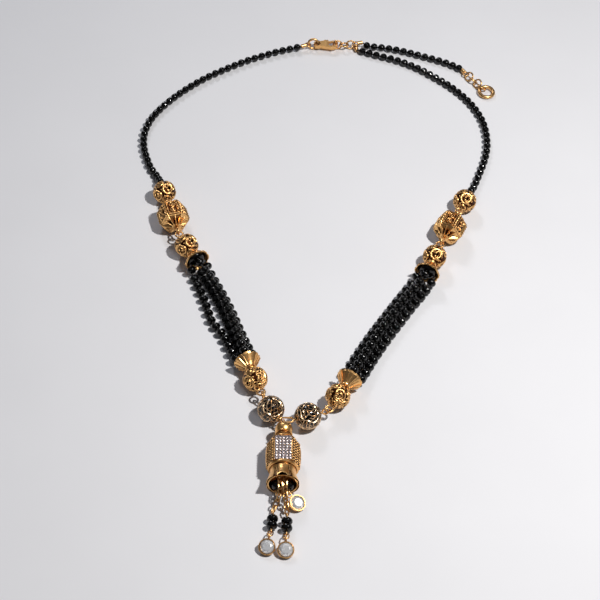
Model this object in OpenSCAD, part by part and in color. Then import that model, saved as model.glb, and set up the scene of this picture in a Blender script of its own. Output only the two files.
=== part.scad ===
/* [Neck strings] */
// Diameter of a round black neck bead
neck_bead_d = 2.7; // [2.4:0.1:3]
// Thread that all the beads are strung on
thread_d = 0.5; // [0.3:0.05:0.6]
// Play of the thread in a bead's bore, on the radius
thread_play = 0.25; // [0.2:0.05:0.3]
// Free space between one neck bead and the next
bead_gap = 0.15; // [0.12:0.01:0.3]

/* [Strands] */
// Diameter of a flattened strand bead
strand_bead_d = 3.2; // [2.9:0.1:3.4]
// Thickness of a strand bead along its thread
strand_bead_t = 2.2; // [1.8:0.1:2.4]
// Distance from one strand bead to the next
strand_pitch = 3.3; // [3.2:0.05:3.6]

/* [Gold balls] */
// Diameter of a filigree ball
ball_d = 8.2; // [7.6:0.1:8.8]
// Wall of the hollow balls and barrels
shell_wall = 0.7; // [0.5:0.1:1]
// Thickness of the raised scroll wire on balls and barrels
scroll_wire = 0.5; // [0.3:0.1:0.7]
// Diameter of a round opening in a ball
ball_hole_d = 1.7; // [1.2:0.1:2]

/* [Barrels] */
// Width of a six-sided barrel bead across its corners
barrel_d = 10.4; // [9.6:0.1:11]
// Length of a barrel bead along its wire
barrel_len = 11.4; // [10.4:0.1:12.4]

/* [Caps] */
// Width of a flared cap at its mouth
cap_d = 8.8; // [8.4:0.1:9.4]
// Length of a flared cap, from the ball's skin to its mouth
cap_len = 4.5; // [4:0.1:5.2]
// Wall of a flared cap
cap_wall = 0.5; // [0.4:0.1:0.7]

/* [Black balls] */
// Diameter of a black ball over its gold net
net_ball_d = 8.8; // [8.2:0.1:9.4]
// Height of the gold net above the black core
net_height = 0.6; // [0.4:0.1:0.8]

/* [Wires and links] */
// Wire of the eye pins through balls and barrels
pin_wire = 0.62; // [0.5:0.02:0.7]
// Eye of the loose joints, to the middle of its wire
big_eye_r = 1.3; // [1.2:0.05:1.5]
// Eye of the close joints, to the middle of its wire
small_eye_r = 0.85; // [0.8:0.05:1]
// Play of a pin in the bore of what it carries, on the radius
pin_play = 0.15; // [0.1:0.05:0.25]
// Clearance between pieces that are hooked together
hook_gap = 0.12; // [0.1:0.02:0.2]
// Links of the clasp chain and the end chain, to the middle of the wire
link_r = 1.6; // [1.5:0.05:1.8]
// Wire of those links
link_wire = 0.6; // [0.5:0.05:0.65]
// End ring, to the middle of its wire
end_ring_r = 2.6; // [2.4:0.1:3]
// Wire of the end ring
end_ring_wire = 1.3; // [1.1:0.1:1.4]

/* [Clasp] */
// Thickness of the lobster clasp
clasp_t = 1.4; // [1.3:0.1:1.6]
// Width of the clasp's claw
clasp_w = 4.6; // [4.4:0.1:5]
// Length from the eyelet's centre to the claw's far end
clasp_reach = 7.6; // [7.4:0.1:8.2]
// Jump ring, to the middle of its wire
jump_ring_r = 1.9; // [1.8:0.05:2.2]
// Wire of the jump ring
jump_ring_wire = 0.9; // [0.8:0.05:1]
// Thickness of the sprung lever
lever_t = 0.6; // [0.5:0.05:0.7]

/* [Pendant] */
// Width of the six-sided drum across its corners
drum_d = 10.8; // [10.2:0.1:11.4]
// Length of the drum, rims included
drum_len = 11.5; // [10.6:0.1:12.2]
// Diameter of the dome above the drum
dome_d = 5.5; // [5:0.1:6]
// Length of the dome and its skirt
dome_len = 7.4; // [6.8:0.1:8]
// Length of the bell below the drum
bell_len = 5.6; // [5.4:0.1:6.4]
// Width of the bell at its mouth
bell_d = 9.5; // [9.2:0.1:9.9]
// Wall of the bell
bell_wall = 0.4; // [0.3:0.05:0.5]

/* [Tassel] */
// Diameter of the round black beads in the bell's mouth
mouth_bead_d = 3.3; // [3:0.1:3.4]
// Diameter of the paired black beads
pair_bead_d = 3.5; // [3.2:0.1:3.8]
// Thickness of a paired bead along its wire
pair_bead_t = 2.3; // [2:0.1:2.6]
// Wire of the tassel's chains and eyes
chain_wire = 0.44; // [0.36:0.02:0.46]
// Thickness of the two tassel chains over their links
chain_d = 1.3; // [1.2:0.1:1.4]
// Length of the loose link over each drop
chain_link_l = 3; // [2.8:0.1:3.4]
// Width of that link
chain_link_w = 2; // [1.9:0.05:2.2]
// Width of a bezel cup
cup_d = 5.2; // [4.8:0.1:5.6]
// Depth of a bezel cup
cup_depth = 1.8; // [1.5:0.1:2.1]
// Width of a round cut stone
stone_d = 4.5; // [4:0.1:4.5]

/* [Hidden] */
$fn = 40;

// Hand-chosen points of the neck strings, plan position, from the clasp to the gold
left_neck_points = [
    [-11, 116.2], [-16.5, 114.3], [-21.8, 112], [-27, 109.5], [-31.8, 106.7], [-36.6, 103.6],
    [-41.8, 100], [-46.5, 96], [-51.3, 91.3], [-55, 87], [-58, 83], [-60.5, 79],
    [-62.3, 75], [-63.5, 70.5], [-64, 66], [-63.6, 60.8], [-62.3, 55.5], [-60.6, 50.3]
];
right_neck_points = [
    [16.4, 114.6], [19.2, 113.4], [22.4, 112.1], [26.2, 110.7], [30.2, 108.9], [33.9, 106.8],
    [37.6, 104.3], [41.2, 101.3], [44.8, 98.1], [48, 95], [50.8, 91.8], [53.2, 88.6],
    [55.3, 85.2], [57.2, 81.4], [58.6, 77.5], [59.6, 73.5], [60.1, 69], [60.2, 64],
    [59.7, 59], [58.6, 54], [57, 49]
];
extension_points = [
    [18.4, 117.7], [22.8, 117.1], [27.6, 116], [33, 114.3], [38.3, 112.1], [43.8, 109.8],
    [49, 107.2]
];
// Where the left and right top balls, the two black balls and the clasp's eyelet lie
left_top_at = [-54.9, 35.2];
right_top_at = [50.1, 30.8];
left_black_at = [-16.6, -64];
right_black_at = [-4.9, -66.9];
clasp_at = [-0.6, 118];
// Directions in degrees of the pieces on their wires, from the neck down
left_turns = [-74, -74.5, -72, -62];
right_turns = [-112, -114.5, -115, -111];
left_low_turns = [-66, -60, -71];
right_low_turns = [-161, -136, -118];
// Strand courses: share of the way down, then side and height in bead diameters
left_courses = [
    [[0.1, -0.95, 0.05], [0.25, -0.98, 0], [0.4, -1.12, 0], [0.53, -1.3, 0], [0.66, -0.92, 0.05],
     [0.78, -0.86, 0.15], [0.9, -0.88, 0.3]],
    [[0.1, 0, 0.05], [0.25, 0.15, 0], [0.4, 0.24, 0], [0.53, 0.18, 0], [0.66, 0.08, 0.05],
     [0.78, 0.04, 0.1], [0.9, 0, 0.25]],
    [[0.1, 0.92, 0.05], [0.25, 1.04, 0], [0.4, 1.12, 0], [0.53, 1.1, 0], [0.66, 1, 0.05],
     [0.78, 0.94, 0.12], [0.9, 0.9, 0.3]],
    [[0.1, 0.25, 0.98], [0.25, 0.6, 0.88], [0.4, 0.68, 0.88], [0.53, 0.64, 0.88], [0.66, 0.54, 0.92],
     [0.78, 0.3, 1.02], [0.9, 0.1, 1.18]]
];
right_courses = [
    [[0.1, -1, 0.1], [0.25, -1.16, 0], [0.4, -1.22, 0], [0.53, -1.28, 0], [0.66, -1.26, 0],
     [0.78, -1.16, 0.1], [0.9, -0.98, 0.3]],
    [[0.1, -0.1, 0.08], [0.25, -0.28, 0], [0.4, -0.34, 0], [0.53, -0.4, 0], [0.66, -0.38, 0],
     [0.78, -0.28, 0.08], [0.9, -0.08, 0.26]],
    [[0.1, 0.8, 0.1], [0.25, 0.6, 0], [0.4, 0.54, 0], [0.53, 0.48, 0], [0.66, 0.5, 0],
     [0.78, 0.6, 0.1], [0.9, 0.82, 0.3]],
    [[0.1, 0, 1], [0.25, -0.25, 0.9], [0.4, -0.3, 0.88], [0.53, -0.38, 0.88], [0.66, -0.36, 0.9],
     [0.78, -0.2, 1], [0.9, -0.05, 1.18]]
];
// Where the four threads cross a cap's mouth: side and height from its axis in bead diameters
mouth_spots = [[-0.88, -0.34], [0, -0.42], [0.88, -0.34], [0, 0.5]];
// Share of one pitch that each strand's first bead is set back
set_backs = [0, 0.5, 0, 0];

// Radii that follow from the sizes above
thread_r = thread_d / 2;
bore_r = thread_r + thread_play;
neck_r = neck_bead_d / 2;
strand_r = strand_bead_d / 2;
ball_r = ball_d / 2;
cap_r = cap_d / 2;
net_r = net_ball_d / 2;
pin_r = pin_wire / 2;
rod_r = pin_r - 0.02;
pin_bore_r = pin_r + pin_play;
barrel_flat = barrel_d / 2 * cos(30);
barrel_z = barrel_flat + scroll_wire / 2;
cap_seat = 0.25;
group_len = ball_r - cap_seat + cap_len;
eye_start = pin_r + hook_gap;

// Directions, and distances between eyes that hook into each other
function dir(a, up = 0) = [cos(a) * cos(up), sin(a) * cos(up), sin(up)];
function heading(v) = atan2(v[1], v[0]);
function climb(v) = atan2(v[2], norm([v[0], v[1]]));
function unit(v) = v / norm(v);
function raise(p, z) = [p[0], p[1], z];
function reach(half, r) = half + eye_start + r;
function slack(r, w1, w2) = r - (w1 + w2) / 2 - hook_gap;
function hooked(r1, w1, r2, w2) = r1 + slack(r2, w1, w2);
function pin_hook(r, a, b, c) = hooked(r, pin_wire, r, pin_wire)
    * (cos(max(abs(a - b), abs(b - c))) - 0.12) * dir(b);
function eye_at(p, a, half, r, z) = raise(p + reach(half, r) * dir(a), (p[2] + z) / 2);

// Smooth run through chosen points, its running lengths, and a place on it
function curve(a, b, c, d, t) =
    0.5 * (2 * b + (c - a) * t + (2 * a - 5 * b + 4 * c - d) * t * t
        + (3 * b - a - 3 * c + d) * t * t * t);
function smooth(pts, n) = let (last = len(pts) - 1) concat(
    [for (i = [0 : last - 1]) for (j = [0 : n - 1])
        curve(pts[max(i - 1, 0)], pts[i], pts[i + 1], pts[min(i + 2, last)], j / n)],
    [pts[last]]);
function lengths(path) = [
    for (i = 0, s = 0; i < len(path); s = s + (i < len(path) - 1 ? norm(path[i + 1] - path[i]) : 0),
        i = i + 1) s];
function place(path, run, s, i = 1) = i >= len(path) - 1 || run[i] >= s
    ? [path[i - 1] + (path[i] - path[i - 1]) * (s - run[i - 1]) / (run[i] - run[i - 1]),
       path[i] - path[i - 1]]
    : place(path, run, s, i + 1);

// Centres of the gold pieces on each side, worked out from eye to eye
left_top = raise(left_top_at, ball_r);
right_top = raise(right_top_at, ball_r);
function barrel_from(top, turns, r) = raise(top + reach(ball_r, r) * dir(turns[0])
    + pin_hook(r, turns[0], turns[0], turns[1]) + reach(barrel_len / 2, r) * dir(turns[1]), barrel_z);
left_barrel = barrel_from(left_top, left_turns, small_eye_r);
right_barrel = barrel_from(right_top, right_turns, big_eye_r);
function mid_from(barrel, turns) = raise(barrel + reach(barrel_len / 2, big_eye_r) * dir(turns[1])
    + pin_hook(big_eye_r, turns[1], turns[2], turns[3]) + reach(ball_r, big_eye_r) * dir(turns[3]), cap_r);
left_mid = mid_from(left_barrel, left_turns);
right_mid = mid_from(right_barrel, right_turns);
left_black = raise(left_black_at, net_r);
right_black = raise(right_black_at, net_r);
function low_from(black, turns) = raise(black - reach(net_r, big_eye_r) * dir(turns[0])
    - pin_hook(big_eye_r, turns[0], turns[1], turns[2]) - reach(ball_r, big_eye_r) * dir(turns[2]),
    cap_r);
left_low = low_from(left_black, left_low_turns);
right_low = low_from(right_black, right_low_turns);

// Each strand group: upper mouth, its direction, lower mouth, its direction
left_down = [left_mid + group_len * dir(left_turns[3]), left_turns[3],
    left_low - group_len * dir(left_low_turns[2]), left_low_turns[2]];
right_down = [right_mid + group_len * dir(right_turns[3]), right_turns[3],
    right_low - group_len * dir(right_low_turns[2]), right_low_turns[2]];

// The pin's eye inside a cap, and the tie ring on it where four threads begin
cap_floor = 0.22;
tie_r = 0.75;
tie_back = cap_len * (1 - cap_floor) - hook_gap - tie_r - pin_r;
tie_hook = hooked(tie_r, pin_wire, tie_r, thread_d);
function tie_at(mouth, a) = mouth - (tie_back - tie_hook) * dir(a);

// Course of one strand from mouth to mouth, its stations, and its thread from tie to tie
function spot(mouth, a, k) = mouth
    + mouth_spots[k][0] * strand_bead_d * dir(a + 90) + [0, 0, mouth_spots[k][1] * strand_bead_d];
function strand_course(down, rows, k) = let (
        away = raise(down[2] - down[0], 0), across = unit([-away[1], away[0], 0]))
    grounded(smooth(concat([spot(down[0], down[1], k)],
        [for (row = rows) raise(down[0] + away * row[0] + across * row[1] * strand_bead_d,
            strand_r + row[2] * strand_bead_d)],
        [spot(down[2], down[3], k)]), 3), strand_r);
function stations(down, path) = let (v = unit(raise(down[2] - down[0], 0)))
    [for (p = path) (p - down[0]) * v];
function thread_course(down, rows, k) = concat(
    [tie_at(down[0], down[1]) + tie_r * dir(down[1])], strand_course(down, rows, k),
    [tie_at(down[2], down[3] + 180) - tie_r * dir(down[3])]);

// Clasp and its jump ring
eyelet_hole_r = jump_ring_wire / 2 + 0.55;
eyelet_r = eyelet_hole_r + 0.6;
jump_tilt = 75;
jump_at = raise(clasp_at - [0.905 * jump_ring_r, 0], jump_ring_r * sin(jump_tilt) + jump_ring_wire / 2);
clasp_z = jump_at[2] - 0.35;
clasp_r = clasp_w / 2;
claw_wall = 0.9;
claw_x = clasp_reach - clasp_r;
pivot_at = [claw_x - 1.25 * clasp_r, 0.4 * clasp_r];
lever_turn = 12;
lever_len = 3.9;
lever_w = 0.8;
pivot_r = 0.3;

// Crimps: centre of the eye, then the direction from the eye to the thread
crimp_d = 1.5;
crimp_lift = 0.58;
crimp_len = 1.7;
crimp_eye_r = 1;
crimp_wire = 0.5;
link_tilt = 75;
link_z = link_r * sin(link_tilt) + link_wire / 2;
link_pitch = hooked(link_r, link_wire, link_r, link_wire);
first_link = raise(clasp_at
    + [clasp_reach - claw_wall - 2 * hook_gap - link_wire + link_r, 0], link_z);
links_end = first_link + (2 * link_pitch + link_r) * dir(0);
jump_end = jump_at - jump_ring_r * dir(0);
end_link_z = link_r * sin(45) + link_wire / 2;
left_crimp = [jump_end + slack(crimp_eye_r, crimp_wire, jump_ring_wire) * dir(203) - [0, 0, 0.3], 203];
crimp_slack = slack(crimp_eye_r, crimp_wire, link_wire) - 0.2;
extension_crimp = [links_end + crimp_slack * dir(12) + [0, 0, crimp_lift], 12];
right_crimp = [links_end + crimp_slack * dir(-72) - [0, 0, crimp_lift], -72];
end_crimp = [raise([54.7, 101.5], end_link_z), 118];
function crimp_end(c) = c[0] + (crimp_eye_r + crimp_len + 0.1) * dir(c[1]);
function crimp_inside(c) = c[0] + (crimp_eye_r + 0.7) * dir(c[1]);

// End chain and end ring
end_heading = -54;
end_count = 4;
end_first = end_crimp[0]
    + (hooked(crimp_eye_r, crimp_wire, link_r, link_wire) - 0.1) * dir(end_heading);
end_slope = 8;
end_at = raise(end_first + ((end_count - 1) * link_pitch
    + hooked(link_r, link_wire, end_ring_r, end_ring_wire) - 0.45) * dir(end_heading),
    end_ring_wire / 2 + end_ring_r * sin(end_slope));

// Neck courses from crimp to top ball
function grounded(path, z) = [for (p = path) raise(p, max(p[2], z))];
function neck_course(c, pts, ball, a) = grounded(smooth(concat([crimp_end(c)],
    [for (p = pts) raise(p, neck_r)],
    [ball - (ball_r + 2.5 * neck_bead_d) * dir(a, 15), ball - ball_r * dir(a)]), 3), neck_r);
left_neck = neck_course(left_crimp, left_neck_points, left_top, left_turns[0]);
right_neck = neck_course(right_crimp, right_neck_points, right_top, right_turns[0]);
extension = grounded(smooth(concat([crimp_end(extension_crimp)],
    [for (p = extension_points) raise(p, neck_r)], [crimp_end(end_crimp)]), 3), neck_r);
knot_r = 0.85;
function knot_at(ball, a) = ball - (ball_r - shell_wall - 1.4) * dir(a);

// Long double-wire eye between the black balls
small_bend = -10;
close_eye_r = 0.76;
small_eye = left_black + (net_r + eye_start) * dir(left_low_turns[0]) + close_eye_r * dir(small_bend);
long_far = small_eye + (slack(close_eye_r, pin_wire, pin_wire) - 0.05) * dir(small_bend);
long_exit = right_black + (net_r + eye_start) * dir(right_low_turns[0]);
long_l = norm(long_far - long_exit);
long_bend = 0.9;

// Pendant, laid on its back, hung from the long eye's front wire
pendant_heading = -90.5;
drum_r = drum_d / 2;
drum_flat = drum_r * cos(30);
bell_r = bell_d / 2;
rim_r = drum_flat + 0.15;
pendant_z = max(rim_r, bell_r) + 0.02;
hang_r = 0.85;
hang_wire = 0.5;
hang_turn = heading(long_exit - long_far);
hang_along = close_eye_r + pin_r + hang_wire / 2 + hook_gap;
hang_on = long_far + hang_along * dir(hang_turn) - long_bend * dir(hang_turn + 90);
pendant_at = raise(hang_on + slack(hang_r, hang_wire, pin_wire) * dir(pendant_heading), pendant_z);
dome_from = 0.45;
drum_from = dome_from + dome_len;
bell_from = drum_from + drum_len;
mouth_from = bell_from + bell_len;
bell_floor = bell_from + 0.5;
bell_neck = bell_r * 0.8;

// Tassel spots in the bell, sideways and up from the pendant's axis
tassel_eye_r = 0.7;
bell_eye_x = bell_floor + tassel_eye_r + 0.1;
chain_spots = [[-1.1, 1.5], [1.1, 1.5]];
bead_spots = [[-2, -0.6], [2, -0.6]];
function in_pendant(x, side, up) = pendant_at + x * dir(pendant_heading)
    + side * dir(pendant_heading + 90) + [0, 0, up];

// Wires with two eyes through the tassel's beads
pin_eye = 0.75;
pair_z = pair_bead_d / 2 + 0.05;
pair_len = 2 * pair_bead_t + 0.15;
pair_at = [[-15.85, -106.5], [-11.4, -107.5]];
pair_turns = [-94, -91];
function wire_half(l) = l / 2 + chain_wire / 2 + 0.1 + pin_eye;
eye_to_eye = hooked(pin_eye, chain_wire, pin_eye, chain_wire) - 0.12;
link_hook = pin_eye + chain_link_l / 2 - 1.5 * chain_wire - hook_gap;

// Bezel cups, leaning towards the viewer, measured from the middle of the rim
drop_tilt = 28;
drop_turns = [-102, -92, -40];
cup_base = 2.4;
cup_eye = cup_d / 2 + pin_eye + chain_wire / 2 - 0.15;
drop_z = cup_base / 2 * sin(drop_tilt) + cup_depth * cos(drop_tilt) + 0.02;
cup_ring_z = drop_z - cup_depth / 2 * cos(drop_tilt) + cup_eye * sin(drop_tilt);
function cup_at(ring, a) = ring + cup_eye * dir(a, -drop_tilt)
    + cup_depth / 2 * [cos(a) * sin(drop_tilt), sin(a) * sin(drop_tilt), cos(drop_tilt)];
function pair_end(k, s) = raise(pair_at[k], pair_z) + s * wire_half(pair_len) * dir(pair_turns[k]);
link_up = asin((cup_ring_z - pair_z) / 2 / link_hook);
mouth_start = bell_eye_x + hooked(tassel_eye_r, chain_wire, pin_eye, chain_wire);
mouth_half = wire_half(mouth_bead_d);
mouth_fall = pendant_z + bead_spots[1][1] - cup_ring_z - eye_to_eye * sin(drop_tilt);
mouth_drop = asin(mouth_fall / 2 / mouth_half);
function mouth_pin(k, s) = in_pendant(mouth_start, bead_spots[k][0], bead_spots[k][1])
    + s * mouth_half * dir(pendant_heading, -mouth_drop);
drops = [
    cup_at(pair_end(0, 1) + 2 * link_hook * dir(drop_turns[0], link_up), drop_turns[0]),
    cup_at(pair_end(1, 1) + 2 * link_hook * dir(drop_turns[1], link_up), drop_turns[1]),
    cup_at(mouth_pin(1, 2) + eye_to_eye * dir(pendant_heading, -drop_tilt), drop_turns[2])
];
function chain_course(k) = let (
        s = chain_spots[k], foot = chain_d / 2 + 0.05,
        far = pair_end(k, -1) - (pin_eye + chain_wire / 2 + 0.3) * dir(pair_turns[k]))
    smooth([in_pendant(bell_eye_x + tassel_eye_r + chain_wire / 2 + 0.15, s[0], s[1]),
        in_pendant(mouth_from + 0.2, s[0] * 0.72, s[1] - 0.1),
        raise(in_pendant(mouth_from + 3.4, s[0] * 0.72, 0), foot + 3.7), far], 3);

module along(p, v) translate(p) rotate([0, -climb(v), heading(v)]) children();
module ring(r, wire) rotate_extrude() translate([r, 0]) circle(d = wire, $fn = 20);
module rod(a, b, r) along(a, b - a) rotate([0, 90, 0]) cylinder(h = norm(b - a), r = r, $fn = 24);
module bore(l, r) rotate([0, 90, 0]) cylinder(h = l, r = r, center = true, $fn = 24);
module turned(rows) rotate([0, 90, 0]) rotate_extrude() polygon(rows);
module gold() color("#c98f3d") children();
module wire() color("#dcb467") children();
module black() color("#101012") children();

// A tube swept along a path with straight stretches between its rings
module tube(path, r, sides = 8) {
    last = len(path) - 1;
    points = [for (i = [0 : last]) let (
            v = unit(path[min(i + 1, last)] - path[max(i - 1, 0)]),
            side = unit(cross([0, 0, 1], v)), up = cross(v, side))
        for (j = [0 : sides - 1]) path[i]
            + r * (cos(360 * j / sides) * side + sin(360 * j / sides) * up)];
    walls = [for (i = [0 : last - 1]) for (j = [0 : sides - 1]) let (
            a = i * sides + j, b = i * sides + (j + 1) % sides)
        each [[a, a + sides, b], [b, a + sides, b + sides]]];
    ends = [[for (j = [0 : sides - 1]) j], [for (j = [sides - 1 : -1 : 0]) last * sides + j]];
    polyhedron(points = points, faces = concat(walls, ends));
}

// Copies set along a path at one pitch, as many as fit between two marks of its run
module string_of(path, run, from, to, pitch)
    for (k = [0 : floor((to - from) / pitch)]) {
        mark = from + k * pitch;
        back = place(path, run, mark - pitch / 4)[0];
        ahead = place(path, run, mark + pitch / 4)[0];
        along((back + ahead) / 2, ahead - back) children();
    }

module neck_beads(path, first_gap, last_gap) black() {
    run = lengths(path);
    string_of(path, run, neck_r + first_gap, run[len(run) - 1] - neck_r - last_gap,
        neck_bead_d + bead_gap)
        round_bead(neck_bead_d);
}

// Round bead with its bore along X
module round_bead(d) rotate([0, 90, 0]) rotate_extrude($fn = 32) difference() {
    circle(d = d, $fn = 32);
    translate([bore_r - d, -d]) square([d, 2 * d]);
}

module flat_bead(d, t) rotate([0, 90, 0]) rotate_extrude($fn = 32) difference() {
    union() {
        translate([(d - t) / 2, 0]) circle(d = t, $fn = 24);
        translate([0, -t / 2]) square([(d - t) / 2, t]);
    }
    translate([-t, -t]) square([t + bore_r, 2 * t]);
}

module strand(down, rows, k) black() {
    path = strand_course(down, rows, k);
    start = strand_bead_t / 2 + 0.8;
    string_of(path, stations(down, path), start + set_backs[k] * strand_pitch,
        norm(down[2] - down[0]) - start, strand_pitch) flat_bead(strand_bead_d, strand_bead_t);
}

// The fourth strand's outline over its whole run, clear of the caps
module top_strand(down, rows) black() {
    path = strand_course(down, rows, 3);
    tube([for (i = [1 : len(path) - 2]) path[i]], strand_r * 0.65, 10);
}

// Threads of the strands and the tie rings that hold them in the caps
module strand_threads(down, courses) color("#2a2624") {
    for (k = [0 : 2]) tube(thread_course(down, courses[k], k), thread_r);
    for (end = [[tie_at(down[0], down[1]), down[1]], [tie_at(down[2], down[3] + 180), down[3]]])
        along(end[0], dir(end[1])) rotate([90, 0, 0])
            rotate_extrude($fn = 12) translate([tie_r, 0]) circle(d = thread_d, $fn = 8);
}

module neck_thread(c, path, ball, a) color("#2a2624") {
    tube(concat([crimp_inside(c)], path, [knot_at(ball, a)]), thread_r);
    translate(knot_at(ball, a)) sphere(r = knot_r, $fn = 10);
}

// Hollow ball with round openings in two bands, each in a raised ring of scroll wire
module filigree_ball(at, a) {
    skin = ball_r - scroll_wire / 2;
    hoop = ball_hole_d / 2 + scroll_wire * 0.35;
    spots = [for (band = [-1, 1]) for (k = [0 : 3]) [band * 28, k * 90 + (band + 1) * 22.5 + 22.5]];
    gold() along(at, dir(a)) difference() {
        union() {
            rotate([0, 0, 90]) sphere(r = skin);
            for (s = spots) rotate([s[1], 0, 0]) rotate([0, s[0], 0])
                translate([0, 0, sqrt(skin * skin - hoop * hoop)]) ring(hoop, scroll_wire);
        }
        rotate([0, 0, 90]) sphere(r = skin - shell_wall);
        bore(ball_d * 2, pin_bore_r);
        for (s = spots) rotate([s[1], 0, 0]) rotate([0, s[0], 0])
            cylinder(h = ball_d, d = ball_hole_d, $fn = 24);
    }
}

// Half outline of a barrel bead: share of its length, share of its half width
barrel_rows = [[-0.5, 0.26], [-0.46, 0.26], [-0.44, 0.5], [-0.38, 0.72], [-0.28, 0.9], [-0.14, 1],
    [0.14, 1], [0.28, 0.9], [0.38, 0.72], [0.44, 0.5], [0.46, 0.26], [0.5, 0.26]];
module barrel_round(inset, widest) turned(concat([[0, -barrel_len / 2 + inset]],
    [for (row = barrel_rows)
        [min(widest, row[1] * barrel_d / 2 - inset), row[0] * (barrel_len - 2 * inset)]],
    [[0, barrel_len / 2 - inset]]));

module barrel(at, a) {
    gap_in = barrel_d * 0.17;
    gap_out = barrel_d * 0.36;
    panel_l = barrel_len * 0.46;
    panel_w = barrel_d * 0.42;
    height = shell_wall + scroll_wire / 2;
    gold() along(at, dir(a)) difference() {
        union() {
            intersection() {
                barrel_round(0, barrel_d);
                rotate([0, 90, 0]) rotate(30)
                    cylinder(h = barrel_len * 2, d = barrel_d, center = true, $fn = 6);
            }
            for (k = [0 : 5]) rotate([k * 60, 0, 0]) translate([0, 0, barrel_flat - shell_wall]) {
                for (end = [-1, 1]) translate([end * panel_l / 2, 0, height / 2])
                    cube([scroll_wire, panel_w, height], center = true);
                for (end = [-1, 1]) translate([0, end * (panel_w - scroll_wire) / 2, height / 2])
                    cube([panel_l, scroll_wire, height], center = true);
                translate([0, 0, shell_wall]) ring(panel_w * 0.3, scroll_wire);
            }
        }
        barrel_round(shell_wall, barrel_flat - shell_wall);
        bore(barrel_len * 2, pin_bore_r);
        for (k = [0 : 5]) rotate([k * 60, 0, 0]) cylinder(h = barrel_d, r = panel_w * 0.22, $fn = 24);
        for (k = [0 : 5]) rotate([k * 60, 0, 0]) rotate([0, 90, 0])
            translate([0, 0, -barrel_len * 0.47]) linear_extrude(barrel_len * 0.94) difference() {
                polygon([[0, 0], gap_out * [cos(20), sin(20)], gap_out * [cos(20), -sin(20)]]);
                circle(r = gap_in);
            }
    }
}

// Flared cap from its ball to its mouth, with a scalloped rim
cap_rows = [[0, 0.4], [0.12, 0.37], [0.26, 0.41], [0.46, 0.55], [0.68, 0.75], [0.88, 0.94], [1, 1]];
module cap(ball, a) {
    lobes = 8;
    start = ball_r - cap_seat;
    gold() along(ball, dir(a)) difference() {
        translate([start, 0, 0]) turned(concat(
            [for (row = cap_rows) [row[1] * cap_r, row[0] * cap_len]],
            [for (i = [len(cap_rows) - 1 : -1 : 2])
                [cap_rows[i][1] * cap_r - cap_wall, max(cap_floor, cap_rows[i][0]) * cap_len]],
            [[cap_rows[2][1] * cap_r - cap_wall, cap_floor * cap_len],
             [pin_bore_r, cap_floor * cap_len], [pin_bore_r, 0]]));
        sphere(r = ball_r + hook_gap);
        for (k = [0 : lobes - 1]) rotate([(k + 0.5) * 360 / lobes, 0, 0])
            translate([start + cap_len * 0.8, 0, cap_r + 0.45]) rotate([0, 90, 0])
                cylinder(h = cap_len, r = 0.8, $fn = 24);
    }
}

// Black ball with a raised net, cut down to its core in rows of pockets
module net_ball(at, a) {
    rows = [[0, 7, 1.2], [37, 5, 1.05], [-37, 5, 1.05]];
    color("#3a2f22") along(at, dir(a)) difference() {
        sphere(r = net_r);
        bore(net_ball_d * 2, pin_bore_r);
        for (row = rows) for (k = [0 : row[1] - 1]) rotate([k * 360 / row[1], 0, 0])
            rotate([0, row[0], 0]) difference() {
                cylinder(h = net_ball_d, r = row[2], $fn = 24);
                sphere(r = net_r - net_height);
            }
    }
}

// One end of a pin: a bent stub past the skin and a closed eye level with its neighbour's
module pin_end(at, a, half, r, z, roll) {
    middle = eye_at(at, a, half, r, z);
    rod(at + half * dir(a), middle - r * dir(a), rod_r + 0.01);
    along(middle, dir(a)) rotate([roll, 0, 0]) ring(r, pin_wire);
}

module top_pin(ball, a, r) wire() {
    head = ball + (ball_r - scroll_wire / 2 - shell_wall - 0.72) * dir(a);
    rod(head, ball + (ball_r + 0.05) * dir(a), rod_r);
    rod(head, head + 0.4 * dir(a), pin_bore_r + 0.3);
    pin_end(ball, a, ball_r, r, barrel_z, 0);
}

module barrel_pin(at, a, r_back, z_back, r_front, z_front) wire() {
    half = barrel_len / 2 + 0.05;
    rod(at - half * dir(a), at + half * dir(a), rod_r);
    pin_end(at, a + 180, barrel_len / 2, r_back, z_back, 90);
    pin_end(at, a, barrel_len / 2, r_front, z_front, 90);
}

// Pin through a ball and its cap, hooked outside and with an eye for the tie ring inside
module group_pin(ball, a, z, mouth) wire() {
    pin_end(ball, a, ball_r, big_eye_r, z, 0);
    rod(ball + (ball_r + 0.05) * dir(a), mouth + (tie_back + tie_r) * dir(a), rod_r);
    along(mouth + tie_back * dir(a), dir(a)) ring(tie_r, pin_wire);
}

module left_black_pin() wire() {
    pin_end(left_black, left_low_turns[0] + 180, net_r, big_eye_r, cap_r, 90);
    rod(left_black - (net_r + 0.05) * dir(left_low_turns[0]),
        left_black + (net_r + eye_start) * dir(left_low_turns[0]), rod_r);
    along(small_eye, dir(small_bend)) rotate([90, 0, 0]) ring(close_eye_r, pin_wire);
}

// The right black ball's pin ends in the long double-wire eye that the pendant hangs on
module right_black_pin() wire() {
    pin_end(right_black, right_low_turns[0] + 180, net_r, big_eye_r, cap_r, 90);
    rod(right_black - (net_r + 0.05) * dir(right_low_turns[0]), long_exit, rod_r);
    straight = long_l - 2 * long_bend;
    along(long_far, long_exit - long_far) for (end = [0, 1])
        translate([long_bend + end * straight, 0, 0]) rotate([0, 0, 180 * end]) {
            rotate([0, 0, 90]) rotate_extrude(angle = 180)
                translate([long_bend, 0]) circle(r = pin_r, $fn = 20);
            translate([-0.05, -long_bend, 0]) rotate([0, 90, 0])
                cylinder(h = straight + 0.1, r = rod_r, $fn = 20);
        }
}

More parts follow.
